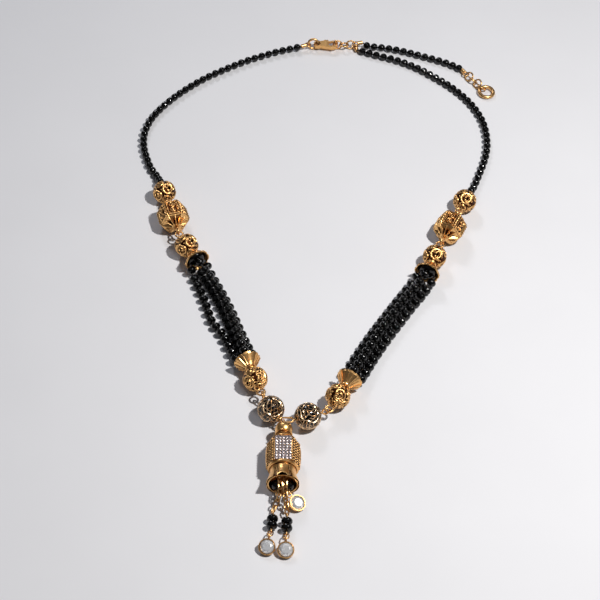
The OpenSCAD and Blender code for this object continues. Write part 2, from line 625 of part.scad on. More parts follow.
module pendant_body() gold() along(pendant_at, dir(pendant_heading)) {
    translate([0, 0, net_r - pendant_z]) rotate([90, 0, 0]) ring(hang_r, hang_wire);
    difference() {
        union() {
            translate([dome_from + dome_d / 2, 0, 0]) sphere(d = dome_d);
            turned([[0, dome_from + dome_d / 2], [dome_d * 0.42, dome_from + dome_d / 2],
                [dome_d * 0.42, drum_from - 2], [drum_r * 0.62, drum_from - 0.5],
                [drum_r * 0.66, drum_from], [drum_r * 0.7, drum_from + 0.1],
                [drum_r * 0.7, drum_from + 0.7], [0, drum_from + 0.7]]);
            intersection() {
                turned([[0, drum_from + 0.2], [drum_r * 0.68, drum_from + 0.2],
                    [drum_r * 0.86, drum_from + drum_len * 0.12],
                    [drum_r * 0.96, drum_from + drum_len * 0.24],
                    [drum_r, drum_from + drum_len * 0.38], [drum_r, drum_from + drum_len * 0.66],
                    [drum_r * 0.95, drum_from + drum_len * 0.95], [0, drum_from + drum_len * 0.95]]);
                rotate([0, 90, 0]) rotate(30) cylinder(h = mouth_from, d = drum_d, $fn = 6);
            }
            turned([[0, bell_from - 1], [rim_r - 0.15, bell_from - 1], [rim_r, bell_from - 0.8],
                [rim_r, bell_from - 0.2], [rim_r - 0.15, bell_from], [bell_neck, bell_from],
                [bell_neck, bell_from + bell_len * 0.35],
                [bell_r * 0.87, bell_from + bell_len * 0.62],
                [bell_r * 0.95, bell_from + bell_len * 0.82], [bell_r, mouth_from - 0.4],
                [bell_r, mouth_from], [0, mouth_from]]);
        }
        turned([[0, bell_floor], [bell_neck - bell_wall, bell_floor],
            [bell_neck - bell_wall, bell_from + bell_len * 0.35],
            [bell_r * 0.87 - bell_wall, bell_from + bell_len * 0.62],
            [bell_r * 0.95 - bell_wall, bell_from + bell_len * 0.82],
            [bell_r - bell_wall, mouth_from - 0.4], [bell_r - bell_wall, mouth_from + 1],
            [0, mouth_from + 1]]);
    }
    for (s = concat(chain_spots, bead_spots)) {
        translate([bell_eye_x, s[0], s[1]]) ring(tassel_eye_r, chain_wire);
        translate([bell_floor - 0.3, s[0], s[1]]) rotate([0, 90, 0])
            cylinder(h = 0.5, r = chain_wire / 2 - 0.02, $fn = 16);
    }
}

// Oval link along +X, lying flat
module oval_link() {
    r = (chain_link_w - chain_wire) / 2;
    half = (chain_link_l - chain_link_w) / 2;
    for (end = [0, 180]) rotate([0, 0, end]) {
        translate([half, 0, 0]) rotate([0, 0, -90]) rotate_extrude(angle = 180)
            translate([r, 0]) circle(d = chain_wire, $fn = 16);
        translate([-half - 0.05, r, 0]) rotate([0, 90, 0])
            cylinder(h = 2 * half + 0.1, d = chain_wire - 0.04, $fn = 16);
    }
}

// Wire along +X through something of length l, with an upright eye at both ends
module eye_wire(l) {
    far = l / 2 + chain_wire / 2 + 0.1;
    rod([-far, 0, 0], [far, 0, 0], chain_wire / 2 - 0.02);
    for (end = [-1, 1]) translate([end * (far + pin_eye), 0, 0]) rotate([90, 0, 0])
        ring(pin_eye, chain_wire);
}

module tassel_pins() wire() for (k = [0, 1]) {
    along(pair_end(k, 0), dir(pair_turns[k])) eye_wire(pair_len);
    along(pair_end(k, 1) + link_hook * dir(drop_turns[k], link_up), dir(drop_turns[k], link_up))
        oval_link();
    along(mouth_pin(k, 1), dir(pendant_heading, -mouth_drop)) eye_wire(mouth_bead_d);
}

module tassel_beads() black() for (k = [0, 1]) {
    for (end = [-1, 1])
        translate(pair_end(k, 0) + end * (pair_bead_t + 0.15) / 2 * dir(pair_turns[k]))
            rotate([0, 0, pair_turns[k]]) flat_bead(pair_bead_d, pair_bead_t);
    along(mouth_pin(k, 1), dir(pendant_heading, -mouth_drop)) round_bead(mouth_bead_d);
}

// Bezel cup and its stone, rim up, ring towards -X
module cup(k) gold() along(drops[k], dir(drop_turns[k], -drop_tilt)) {
    difference() {
        turned_up([[0, -cup_depth], [cup_base / 2, -cup_depth], [cup_d / 2, -cup_depth * 0.45],
            [cup_d / 2, 0], [0, 0]]);
        turned_up([[0, -cup_depth + 0.35], [cup_base / 2 - 0.3, -cup_depth + 0.35],
            [stone_d / 2 + 0.1, -0.45], [stone_d / 2 + 0.1, 1], [0, 1]]);
    }
    translate([-cup_eye, 0, -cup_depth / 2]) rotate([k < 2 ? 90 : 0, 0, 0]) ring(pin_eye, chain_wire);
    translate([-cup_d / 2 - 0.12, 0, -cup_depth / 2]) rotate([0, 90, 0])
        cylinder(h = 0.3, r = chain_wire / 2 - 0.02, $fn = 16);
}
module turned_up(rows) rotate_extrude() polygon(rows);

module stone(k) color("#e8ecee") along(drops[k], dir(drop_turns[k], -drop_tilt)) {
    girdle = stone_d / 2;
    translate([0, 0, -0.2]) cylinder(h = 0.85, r1 = girdle, r2 = girdle * 0.56, $fn = 10);
    translate([0, 0, -0.4]) cylinder(h = 0.2, r = girdle, $fn = 10);
    translate([0, 0, -0.4 - 0.8]) cylinder(h = 0.8, r1 = girdle * 0.3, r2 = girdle, $fn = 10);
}

module clasp_ring() wire() translate(jump_at) rotate([jump_tilt, 0, 0]) ring(jump_ring_r, jump_ring_wire);

module clasp_links() wire() for (i = [0 : 2])
    translate(first_link + i * link_pitch * dir(0))
        rotate([i % 2 == 0 ? link_tilt : link_tilt - 90, 0, 0]) ring(link_r, link_wire);

module end_links() wire() for (i = [0 : end_count - 1])
    along(end_first + i * link_pitch * dir(end_heading), dir(end_heading))
        rotate([i % 2 == 0 ? 45 : -45, 0, 0]) ring(link_r, link_wire);

module end_ring() wire() along(end_at, dir(end_heading, -end_slope)) difference() {
    ring(end_ring_r, end_ring_wire);
    cylinder(r = end_ring_r - end_ring_wire / 2 + 0.12, h = end_ring_wire * 2, center = true);
}

module crimps() wire() for (c = [left_crimp, extension_crimp, right_crimp, end_crimp])
    along(c[0], dir(c[1])) {
        ring(crimp_eye_r, crimp_wire);
        difference() {
            translate([crimp_eye_r - 0.05, 0, 0]) rotate([0, 90, 0])
                cylinder(h = crimp_len + 0.05, d = crimp_d, $fn = 24);
            translate([crimp_eye_r + 0.5, 0, 0]) rotate([0, 90, 0])
                cylinder(h = crimp_len, r = bore_r, $fn = 24);
        }
    }

// Places things in the lever's frame, turned about its pivot
module at_pivot() translate(pivot_at) rotate(lever_turn) children();

module clasp_body() wire() translate(raise(clasp_at, clasp_z)) {
    difference() {
        linear_extrude(clasp_t, center = true) difference() {
            union() {
                circle(r = eyelet_r);
                translate([claw_x, 0]) circle(r = clasp_r);
                polygon([[0.4, -1.2], [claw_x, -clasp_r], [claw_x, clasp_r], [0.4, 1.2]]);
            }
            circle(r = eyelet_hole_r);
            translate([claw_x, 0]) circle(r = clasp_r - claw_wall);
            at_pivot() translate([1.7, -lever_w / 2 - hook_gap])
                square([lever_len + hook_gap - 1.7, clasp_w]);
        }
        linear_extrude(lever_t + 2 * hook_gap, center = true) at_pivot()
            translate([-1.05, -1]) square([lever_len - 0.9, clasp_w]);
    }
    translate([pivot_at[0], pivot_at[1], -clasp_t / 2]) cylinder(h = clasp_t, r = pivot_r, $fn = 24);
}

// Sprung lever: hub on the pivot, bar that closes the claw, tab for the thumb
module clasp_lever() wire() translate(raise(clasp_at, clasp_z)) linear_extrude(lever_t, center = true)
    at_pivot() difference() {
        union() {
            circle(r = lever_w / 2 + 0.4);
            translate([0, -lever_w / 2]) square([lever_len - hook_gap, lever_w]);
            translate([0.55, 0.9]) circle(r = 0.6);
        }
        circle(r = pivot_r + 0.1);
    }

neck_beads(left_neck, 0.2, 0.2);  // left_neck_beads
neck_thread(left_crimp, left_neck, left_top, left_turns[0]);  // left_neck_thread
neck_beads(right_neck, 0.6, 0.2);  // right_neck_beads
neck_thread(right_crimp, right_neck, right_top, right_turns[0]);  // right_neck_thread
neck_beads(extension, 0.7, 0.1);  // extension_beads
color("#2a2624")  // extension_thread
    tube(concat([crimp_inside(extension_crimp)], extension, [crimp_inside(end_crimp)]), thread_r);
strand(left_down, left_courses[0], 0);  // left_strand_1
strand(left_down, left_courses[1], 1);  // left_strand_2
strand(left_down, left_courses[2], 2);  // left_strand_3
top_strand(left_down, left_courses[3]);  // left_strand_4
strand_threads(left_down, left_courses);  // left_strand_threads
strand(right_down, right_courses[0], 0);  // right_strand_1
strand(right_down, right_courses[1], 1);  // right_strand_2
strand(right_down, right_courses[2], 2);  // right_strand_3
top_strand(right_down, right_courses[3]);  // right_strand_4
strand_threads(right_down, right_courses);  // right_strand_threads
filigree_ball(left_top, left_turns[0]);  // left_top_ball
barrel(left_barrel, left_turns[1]);
filigree_ball(left_mid, left_turns[3]);  // left_mid_ball
cap(left_mid, left_turns[3]);  // left_upper_cap
cap(left_low, left_low_turns[2] + 180);  // left_lower_cap
filigree_ball(left_low, left_low_turns[2] + 180);  // left_low_ball
net_ball(left_black, left_low_turns[0]);  // left_black_ball
filigree_ball(right_top, right_turns[0]);  // right_top_ball
barrel(right_barrel, right_turns[1]);
filigree_ball(right_mid, right_turns[3]);  // right_mid_ball
cap(right_mid, right_turns[3]);  // right_upper_cap
cap(right_low, right_low_turns[2] + 180);  // right_lower_cap
filigree_ball(right_low, right_low_turns[2] + 180);  // right_low_ball
net_ball(right_black, right_low_turns[0]);  // right_black_ball
top_pin(left_top, left_turns[0], small_eye_r);  // left_top_pin
barrel_pin(left_barrel, left_turns[1], small_eye_r, ball_r, big_eye_r, cap_r);  // left_barrel_pin
group_pin(left_mid, left_turns[3] + 180, barrel_z, left_down[0]);  // left_mid_pin
group_pin(left_low, left_low_turns[2], net_r, left_down[2]);  // left_low_pin
left_black_pin();
top_pin(right_top, right_turns[0], big_eye_r);  // right_top_pin
barrel_pin(right_barrel, right_turns[1], big_eye_r, ball_r, big_eye_r, cap_r);  // right_barrel_pin
group_pin(right_mid, right_turns[3] + 180, barrel_z, right_down[0]);  // right_mid_pin
group_pin(right_low, right_low_turns[2], net_r, right_down[2]);  // right_low_pin
right_black_pin();
pendant_body();
wire() tube(chain_course(0), chain_d / 2);  // tassel_chain_left
wire() tube(chain_course(1), chain_d / 2);  // tassel_chain_right
tassel_pins();
tassel_beads();
cup(0);  // drop_cup_left
cup(1);  // drop_cup_right
cup(2);  // drop_cup_short
stone(0);  // drop_stone_left
stone(1);  // drop_stone_right
stone(2);  // drop_stone_short
clasp_ring();
clasp_body();
clasp_lever();
clasp_links();
crimps();
end_links();
end_ring();
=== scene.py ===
# %% [markdown]
# A black bead necklace lies on a pale table. The solids come from the frame, in metres and in their
# place. This file gives every solid its finish and models what is too fine for the solids: scroll
# wire, nets, set stones, chain links and the beads of the two upper strands.

# %% Load the frame
import math
import random

import bmesh
import bpy
from mathutils import Matrix, Vector
from mathutils.kdtree import KDTree


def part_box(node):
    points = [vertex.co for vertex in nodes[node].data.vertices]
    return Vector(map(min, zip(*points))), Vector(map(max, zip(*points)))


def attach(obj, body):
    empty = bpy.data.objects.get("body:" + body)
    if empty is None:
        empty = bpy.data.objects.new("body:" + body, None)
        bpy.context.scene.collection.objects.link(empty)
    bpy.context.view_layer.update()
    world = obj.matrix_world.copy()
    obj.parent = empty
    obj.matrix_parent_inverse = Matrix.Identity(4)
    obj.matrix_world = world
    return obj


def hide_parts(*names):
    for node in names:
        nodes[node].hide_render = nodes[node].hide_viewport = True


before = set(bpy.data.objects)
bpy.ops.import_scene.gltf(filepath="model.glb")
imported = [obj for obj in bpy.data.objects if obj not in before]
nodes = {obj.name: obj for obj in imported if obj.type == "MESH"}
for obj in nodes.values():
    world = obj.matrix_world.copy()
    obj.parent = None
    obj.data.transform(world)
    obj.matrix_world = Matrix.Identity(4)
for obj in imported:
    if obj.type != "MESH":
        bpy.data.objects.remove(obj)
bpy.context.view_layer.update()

MM = 0.001
BODY = "necklace"
scene = bpy.context.scene

# %% [markdown]
# The camera stands in front of the table and looks down at 47 degrees, with a long lens, as the
# picture was taken. Its distance fixes the perspective, so it comes before any piece.

# %% Camera
LOOK_AT = Vector((-7.4, -12.8, 0)) * MM
camera_data = bpy.data.cameras.new("camera")
camera_data.lens = 120.6
camera_data.sensor_width = 36
camera = bpy.data.objects.new("camera", camera_data)
camera.location = LOOK_AT + Vector((0, -0.4603, 0.4937))
camera.rotation_euler = (math.radians(43), 0, 0)
scene.collection.objects.link(camera)
scene.camera = camera
print("camera at", [round(v, 3) for v in camera.location])

# %% [markdown]
# Small helpers for materials. A colour is picked on screen as a hex value, and the shader wants
# linear light, so one function converts it. One more adds a node with its settings and its links.

# %% Material helpers
def linear(hex_colour):
    channels = [int(hex_colour[i:i + 2], 16) / 255 for i in (1, 3, 5)]
    return tuple(c / 12.92 if c <= 0.04045 else ((c + 0.055) / 1.055) ** 2.4 for c in channels) + (1.0,)


def add(tree, kind, inputs=None, **settings):
    node = tree.nodes.new(kind)
    for key, value in settings.items():
        setattr(node, key, value)
    for key, value in (inputs or {}).items():
        if isinstance(value, bpy.types.NodeSocket):
            tree.links.new(value, node.inputs[key])
        else:
            node.inputs[key].default_value = value
    return node


def finish(name, **constants):
    material = bpy.data.materials.new(name)
    material.use_nodes = True
    tree = material.node_tree
    shader = tree.nodes["Principled BSDF"]
    for key, value in constants.items():
        shader.inputs[key.replace("_", " ")].default_value = value
    coords = add(tree, "ShaderNodeTexCoord").outputs["Object"]
    return material, tree, shader, coords


def grain(mm):
    return 1 / (mm * MM)


print("1 mm of grain is a scale of", grain(1))


# %% [markdown]
# Antique gold plating over cast brass. Ambient occlusion finds the hollows by itself and paints
# them darker, a painted shade, while what stands out keeps the bright colour. One recipe serves five
# finishes: the plating, a darker copy for the low ground of a relief, the smoother plating of drawn
# wire, the pale gilt of the nets, and the grey plating that makes small clear stones look whiter.

# %% Antique gold
CAST_MOTTLE, CAST_SKIN, SKIN_DEPTH = 0.9, 0.22, 0.03


def gold_finish(name, bright, shade_colour, shade_reach, rough):
    material, tree, shader, coords = finish(name, Metallic=1.0)
    mottle = add(tree, "ShaderNodeTexNoise", {"Vector": coords, "Scale": grain(CAST_MOTTLE), "Detail": 4.0})
    mottle = mottle.outputs["Fac"]
    # The occlusion paints shade into the colour: the hollows darker, what stands out brighter.
    shade = add(tree, "ShaderNodeAmbientOcclusion", {"Distance": shade_reach * MM}, samples=8)
    unshaded = add(tree, "ShaderNodeMapRange",
                    {"Value": shade.outputs["AO"], "From Min": 0.25, "From Max": 0.85})
    blotch = add(tree, "ShaderNodeMapRange", {"Value": mottle, "To Min": 0.75, "To Max": 1.15})
    unshaded_and_mottle = add(tree, "ShaderNodeMath", {0: unshaded.outputs["Result"], 1: blotch.outputs["Result"]},
                 operation="MULTIPLY", use_clamp=True)
    unshaded_and_mottle = unshaded_and_mottle.outputs["Value"]
    colour = add(tree, "ShaderNodeMix", {"Factor": unshaded_and_mottle, 6: linear(shade_colour), 7: linear(bright)},
                 data_type="RGBA")
    tree.links.new(colour.outputs[2], shader.inputs["Base Color"])
    satin = add(tree, "ShaderNodeMapRange", {"Value": mottle, "To Min": rough, "To Max": rough + 0.16})
    tree.links.new(satin.outputs["Result"], shader.inputs["Roughness"])
    skin = add(tree, "ShaderNodeTexNoise", {"Vector": coords, "Scale": grain(CAST_SKIN), "Detail": 2.0})
    bump = add(tree, "ShaderNodeBump",
               {"Height": skin.outputs["Fac"], "Strength": 0.1, "Distance": SKIN_DEPTH * MM})
    tree.links.new(bump.outputs["Normal"], shader.inputs["Normal"])
    return material


antique_gold = gold_finish("antique gold plating", "#f6c27e", "#6e2c0a", 0.9, 0.26)
# A darker copy of the gold for the low ground, the wells and the grooves: painted shade.
painted_shade_gold = gold_finish("gold darkened with painted shade in the hollows", "#46220f", "#0c0402", 0.9, 0.36)
gold_wire = gold_finish("pale gold plated wire", "#e8b97c", "#7a4514", 0.6, 0.26)
net_gilt = gold_finish("pale gilt of the nets", "#e4c39c", "#4a2a18", 0.5, 0.24)
grey_plating = gold_finish("grey plating between the stones", "#b8aeb0", "#2a2022", 0.5, 0.2)
print("metal finishes:", [m.name for m in (antique_gold, painted_shade_gold, gold_wire, net_gilt, grey_plating)])

# %% [markdown]
# The beads are pressed black glass, fire polished. The surface is almost a mirror, so the eye sees
# small sharp highlights on near black, with a faint unevenness left by the press.

# %% Black glass
def black_glass_finish():
    material, tree, shader, coords = finish("fire polished black glass", IOR=1.46)
    cloud = add(tree, "ShaderNodeTexNoise", {"Vector": coords, "Scale": grain(2.5), "Detail": 3.0})
    cloud = cloud.outputs["Fac"]
    colour = add(tree, "ShaderNodeMix", {"Factor": cloud, 6: linear("#010101"), 7: linear("#040303")},
                 data_type="RGBA")
    tree.links.new(colour.outputs[2], shader.inputs["Base Color"])
    polish = add(tree, "ShaderNodeMapRange", {"Value": cloud, "To Min": 0.1, "To Max": 0.16})
    tree.links.new(polish.outputs["Result"], shader.inputs["Roughness"])
    return material


black_glass = black_glass_finish()
print("bead finish:", black_glass.name)

# %% [markdown]
# The thread is waxed black cotton, matt, with the twist of its strands. The twist is finer than a
# pixel, so it is drawn at about 0.5 mm.

# %% Waxed thread
def thread_finish():
    material, tree, shader, coords = finish("waxed black cotton thread", Roughness=0.7, Sheen_Weight=0.15)
    twist = add(tree, "ShaderNodeTexWave", {"Vector": coords, "Scale": grain(3.2), "Distortion": 1.5},
                bands_direction="DIAGONAL")
    twist = twist.outputs["Fac"]
    colour = add(tree, "ShaderNodeMix", {"Factor": twist, 6: linear("#0d0c0b"), 7: linear("#2b2723")},
                 data_type="RGBA")
    tree.links.new(colour.outputs[2], shader.inputs["Base Color"])
    bump = add(tree, "ShaderNodeBump", {"Height": twist, "Strength": 0.4, "Distance": 0.05 * MM})
    tree.links.new(bump.outputs["Normal"], shader.inputs["Normal"])
    return material


thread = thread_finish()
print("thread finish:", thread.name)

# %% [markdown]
# The stones are foil-backed crystal: lead glass cut with flat facets over a silver foil. Light meets
# the mirror right below the crown, so each facet is drawn as silver under a clear coat. The small
# ones set in gold pick up a little of its warmth.

# %% Crystal and foil
def stone_finish(name, dull, bright, metal):
    material, tree, shader, coords = finish(name, Metallic=metal, Coat_Weight=1.0, Coat_Roughness=0.02)
    cloud = add(tree, "ShaderNodeTexNoise", {"Vector": coords, "Scale": grain(0.9), "Detail": 2.0})
    cloud = cloud.outputs["Fac"]
    colour = add(tree, "ShaderNodeMix", {"Factor": cloud, 6: linear(dull), 7: linear(bright)},
                 data_type="RGBA")
    tree.links.new(colour.outputs[2], shader.inputs["Base Color"])
    polish = add(tree, "ShaderNodeMapRange", {"Value": cloud, "To Min": 0.15, "To Max": 0.35})
    tree.links.new(polish.outputs["Result"], shader.inputs["Roughness"])
    return material


crystal = stone_finish("crystal over silver foil", "#eeeef0", "#ffffff", 0.55)
pave_crystal = stone_finish("small crystal set in gold", "#dccac6", "#f8e8e4", 0.88)
foil = stone_finish("shaded foil under the girdle", "#8c8a90", "#c4c4c8", 0.8)
print("stone finishes:", crystal.name, "/", pave_crystal.name, "/", foil.name)

# %% [markdown]
# Every solid that stays visible gets the finish of what it is made of. Wires, rings and links are
# paler and smoother than the cast pieces. The glass beads are cut, so they are shaded with flat
# facets: here and there one turns to the lamp and glints.

# %% Finish the solids
def finish_of(node):
    if "thread" in node:
        return thread
    if "stone" in node:
        return crystal
    if "beads" in node or "_strand_" in node or "black_ball" in node:
        return black_glass
    if any(word in node for word in ("pin", "links", "ring", "crimps", "chain")):
        return gold_wire
    return antique_gold


for name, item in nodes.items():
    item.data.materials.clear()
    item.data.materials.append(finish_of(name))
    if finish_of(name) == black_glass:
        item.data.shade_flat()
print("finished solids:", len(nodes))

# %% [markdown]
# Helpers for shapes. A shape is drawn in millimetres around the origin with its wire along X, then
# turned and carried to its place, and one last step scales it to metres.

# %% Shape helpers
def placing(at, heading=0.0, climb=0.0, roll=0.0):
    turn = (Matrix.Rotation(math.radians(heading), 4, "Z") @ Matrix.Rotation(math.radians(-climb), 4, "Y")
            @ Matrix.Rotation(math.radians(roll), 4, "X"))
    return Matrix.Translation(at) @ turn


def add_shape(whole, part, matrix):
    first = len(whole.verts)
    whole.from_mesh(part)
    whole.verts.ensure_lookup_table()
    bmesh.ops.transform(whole, matrix=matrix, verts=whole.verts[first:])


def as_mesh(shape):
    mesh = bpy.data.meshes.new("part")
    shape.to_mesh(mesh)
    shape.free()
    return mesh


def make_piece(name, shape, materials, replaced=(), crease=35):
    bmesh.ops.remove_doubles(shape, verts=shape.verts, dist=0.002)
    bmesh.ops.recalc_face_normals(shape, faces=shape.faces)
    bmesh.ops.scale(shape, vec=(MM, MM, MM), verts=shape.verts)
    mesh = as_mesh(shape)
    mesh.name = name
    mesh.shade_smooth()
    mesh.set_sharp_from_angle(angle=math.radians(crease))
    for material in materials:
        mesh.materials.append(material)
    item = bpy.data.objects.new(name, mesh)
    scene.collection.objects.link(item)
    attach(item, BODY)
    if replaced:
        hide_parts(*replaced)
    print(name, len(mesh.polygons), "faces")


# %% [markdown]
# Wire is a curve with a round bevel, made a mesh at once so that many runs can share one piece.
# Turned shapes are a half outline that is spun once round the X axis and merged at the seam.

# %% Wire and turned shapes
def wire_mesh(runs, radius, closed=False, resolution=1):
    curve = bpy.data.curves.new("run", "CURVE")
    curve.dimensions = "3D"
    curve.bevel_depth = radius
    curve.bevel_resolution = resolution
    curve.use_fill_caps = not closed
    for run in runs:
        spline = curve.splines.new("POLY")
        spline.points.add(len(run) - 1)
        for point, place in zip(spline.points, run):
            point.co = (*place, 1)
        spline.use_cyclic_u = closed
    holder = bpy.data.objects.new("run", curve)
    scene.collection.objects.link(holder)
    mesh = bpy.data.meshes.new_from_object(holder.evaluated_get(bpy.context.evaluated_depsgraph_get()))
    bpy.data.objects.remove(holder)
    bpy.data.curves.remove(curve)
    return mesh


def turned_mesh(outline, steps):
    shape = bmesh.new()
    points = [shape.verts.new((x, 0, r)) for x, r in outline]
    edges = [shape.edges.new(pair) for pair in zip(points, points[1:])]
    bmesh.ops.spin(shape, geom=points + edges, cent=(0, 0, 0), axis=(1, 0, 0), angle=math.tau,
                   steps=steps, use_merge=True)
    bmesh.ops.remove_doubles(shape, verts=shape.verts, dist=0.001)
    return as_mesh(shape)


def grain_mesh(radius):
    shape = bmesh.new()
    bmesh.ops.create_icosphere(shape, subdivisions=2, radius=radius)
    return as_mesh(shape)


def ring_points(radius, x=0.0, count=32, wave=0.0, lobes=0):
    angles = [math.tau * i / count for i in range(count)]
    return [(x, (radius + wave * math.cos(lobes * a)) * math.sin(a),
             (radius + wave * math.cos(lobes * a)) * math.cos(a)) for a in angles]


# %% [markdown]
# The upper strand of each group is one thread of flattened beads that rides over the other three.
# The solids keep it as a plain tube, so the beads are made here, on the same course: a smooth run
# through nine chosen points, from the upper cap's mouth to the lower one's.

# %% Upper strands
BEAD_D, BEAD_T, BORE_R, PITCH, THREAD_R = 3.2, 2.2, 0.5, 3.3, 0.25
STRANDS = {
    "left": [(-42.179, 1.28, 6.0), (-39.668, -2.915, 4.736), (-35.976, -9.238, 4.416),
             (-33.087, -15.877, 4.416), (-30.909, -21.758, 4.416), (-28.91, -27.711, 4.544),
             (-27.505, -33.378, 4.864), (-25.98, -38.999, 5.376), (-24.511, -43.605, 6.0)],
    "right": [(35.37, -4.361, 6.0), (32.693, -9.062, 4.8), (27.983, -15.717, 4.48),
              (23.83, -22.689, 4.416), (20.128, -28.673, 4.416), (16.704, -34.816, 4.48),
              (13.937, -40.71, 4.8), (11.143, -46.588, 5.376), (8.605, -51.368, 6.0)],
}
TIES = {"left": [(-42.536, 1.952, 4.4), (-24.264, -44.323, 4.4)],
        "right": [(35.642, -3.651, 4.4), (8.248, -52.039, 4.4)]}


def smooth_run(points, steps=3):
    points = [Vector(p) for p in points]
    run = []
    for i in range(len(points) - 1):
        a, b, c, d = (points[max(i - 1, 0)], points[i], points[i + 1], points[min(i + 2, len(points) - 1)])
        for j in range(steps):
            t = j / steps
            run.append(0.5 * (2 * b + (c - a) * t + (2 * a - 5 * b + 4 * c - d) * t * t
                              + (3 * b - a - 3 * c + d) * t ** 3))
    return run + [points[-1]]


def place_on(run, marks, s):
    i = next((i for i in range(1, len(run)) if marks[i] >= s), len(run) - 1)
    return run[i - 1] + (run[i] - run[i - 1]) * (s - marks[i - 1]) / (marks[i] - marks[i - 1])


def bead_outline(d, t, steps=8):
    rim, r = (d - t) / 2, t / 2
    arc = [(-r * math.cos(math.pi * i / steps), rim + r * math.sin(math.pi * i / steps))
           for i in range(steps + 1)]
    return [(-r * 0.9, BORE_R)] + arc + [(r * 0.9, BORE_R)]


def upper_strand(side):
    course = smooth_run(STRANDS[side])
    line = Vector(course[-1]) - course[0]
    line.z = 0
    length = line.length
    marks = [(p - course[0]).dot(line / length) for p in course]
    bead = turned_mesh(bead_outline(BEAD_D, BEAD_T) + [(-BEAD_T * 0.45, BORE_R)], 16)
    beads = bmesh.new()
    start = BEAD_T / 2 + 0.8
    for k in range(int((length - 2 * start) / PITCH) + 1):
        back, ahead = (place_on(course, marks, start + k * PITCH + s * PITCH / 4) for s in (-1, 1))
        aim = ahead - back
        heading = math.degrees(math.atan2(aim.y, aim.x))
        climb = math.degrees(math.asin(aim.z / aim.length))
        add_shape(beads, bead, placing((back + ahead) / 2, heading, climb))
    make_piece(side + "_upper_strand_beads", beads, [black_glass], [side + "_strand_4"])
    string = bmesh.new()
    run = [TIES[side][0]] + [tuple(p) for p in course] + [TIES[side][1]]
    string.from_mesh(wire_mesh([run], THREAD_R))
    make_piece(side + "_upper_strand_thread", string, [thread])


for side in ("left", "right"):
    upper_strand(side)

# %% [markdown]
# Cast pieces are high relief. A relief is a skin whose height comes from the ridges drawn on it: a
# tree of ridge points finds the ridges near a spot, and each gives a rounded crest. What stays low
# gets the darker gold, a painted shade, and what stands up gets the bright plating.

# %% Relief helpers
RIDGE_REACH = 0.9


def ridge_tree(ridges):
    places = [(Vector(p), width) for run, width in ridges for p in run]
    tree = KDTree(len(places))
    for i, (place, _) in enumerate(places):
        tree.insert(place, i)
    tree.balance()
    return tree, [width for _, width in places]


def ridge_height(ridges, spot):
    tree, widths = ridges
    near = tree.find_range(spot, RIDGE_REACH)
    return max((1 - (gap / widths[i]) ** 2 for _, i, gap in near if gap < widths[i]), default=0.0)


def dense(run, gap=0.12):
    points = [Vector(p) for p in run]
    out = []
    for a, b in zip(points, points[1:]):
        count = max(1, math.ceil((b - a).length / gap))
        out += [a.lerp(b, i / count) for i in range(count)]
    return out + [points[-1]]


# %% [markdown]
# The gold balls are cast in openwork: broad scrolls curl round each opening, a ring sits round the
# wire's hole, and short curls fill the gaps. Each scroll starts close to an opening, swings wide and
# curls back in.

# %% Scrolls on the gold balls
BALL_TOP, BALL_GROUND, BALL_PIT = 4.07, 3.7, 3.1
SHORT_CURLS, SHADE_LINE = 110, 0.12
BALLS = {"left_top_ball": -74, "left_mid_ball": -62, "left_low_ball": 109,
         "right_top_ball": -112, "right_mid_ball": -111, "right_low_ball": 62}


def middle_of(node):
    low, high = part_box(node)
    return (Vector(low) + Vector(high)) / 2 / MM


def toward(tilt, roll):
    tilt, roll = math.radians(tilt), math.radians(roll)
    return Vector((math.sin(tilt), -math.cos(tilt) * math.sin(roll), math.cos(tilt) * math.cos(roll)))


def curl(centre, radius, start, sweep, wide, tight, steps=90):
    side = centre.cross(Vector((1, 0, 0))).normalized()
    up = centre.cross(side)
    run = []
    for i in range(steps + 1):
        t = i / steps
        away = math.radians(wide - (wide - tight) * abs(2 * t - 1) ** 3)
        turn = math.radians(start + sweep * t)
        sideways = math.cos(turn) * side + math.sin(turn) * up
        run.append(radius * (math.cos(away) * centre + math.sin(away) * sideways))
    return run


def ball_relief():
    openings = [toward(band * 28, k * 90 + 22.5 + (band + 1) * 22.5) for band in (-1, 1) for k in range(4)]
    ridges = [(curl(c, BALL_TOP, 90 * i + 40, 310 * (-1) ** i, 32, 20), 0.4)
              for i, c in enumerate(openings)]
    ridges += [(curl(c, BALL_TOP, 70 * i, 250 * (-1) ** i, 19, 12), 0.3) for i, c in enumerate(openings)]
    ridges += [(curl(c, BALL_TOP, 20, 360, 9, 9, 40), 0.2) for c in openings]
    ridges += [(dense(ring_points(1.5, end * 3.78, 24)), 0.34) for end in (-1, 1)]
    ridges += [([BALL_TOP * toward(0, 45 * k)], 0.42) for k in range(8)]
    ridges += [([BALL_TOP * toward(50 * (-1) ** k, 45 * k)], 0.4) for k in range(8)]
    rng = random.Random(7)
    for k in range(SHORT_CURLS):
        spot = Vector((rng.gauss(0, 1), rng.gauss(0, 1), rng.gauss(0, 1))).normalized()
        ridges.append((curl(spot, BALL_TOP - 0.08, rng.uniform(0, 360), 100, 11, 11, 14), 0.22))
    known = ridge_tree(ridges)
    shape = bmesh.new()
    bmesh.ops.create_icosphere(shape, subdivisions=6, radius=1)
    for corner in shape.verts:
        aim = corner.co.normalized()
        height = ridge_height(known, aim * BALL_TOP)
        low = BALL_PIT if any(aim.dot(c) > 0.992 for c in openings) else BALL_GROUND
        corner.co = aim * (low + (BALL_TOP - low) * height)
    for face in shape.faces:
        # Faces on the low ground and in the openings take the darker gold, a painted shade.
        face.material_index = 1 if face.calc_center_median().length < BALL_GROUND + SHADE_LINE else 0
    return as_mesh(shape)


ball = ball_relief()
for node, heading in BALLS.items():
    whole = bmesh.new()
    add_shape(whole, ball, placing(middle_of(node), heading))
    make_piece(node + "_openwork", whole, [antique_gold, painted_shade_gold], [node], crease=70)
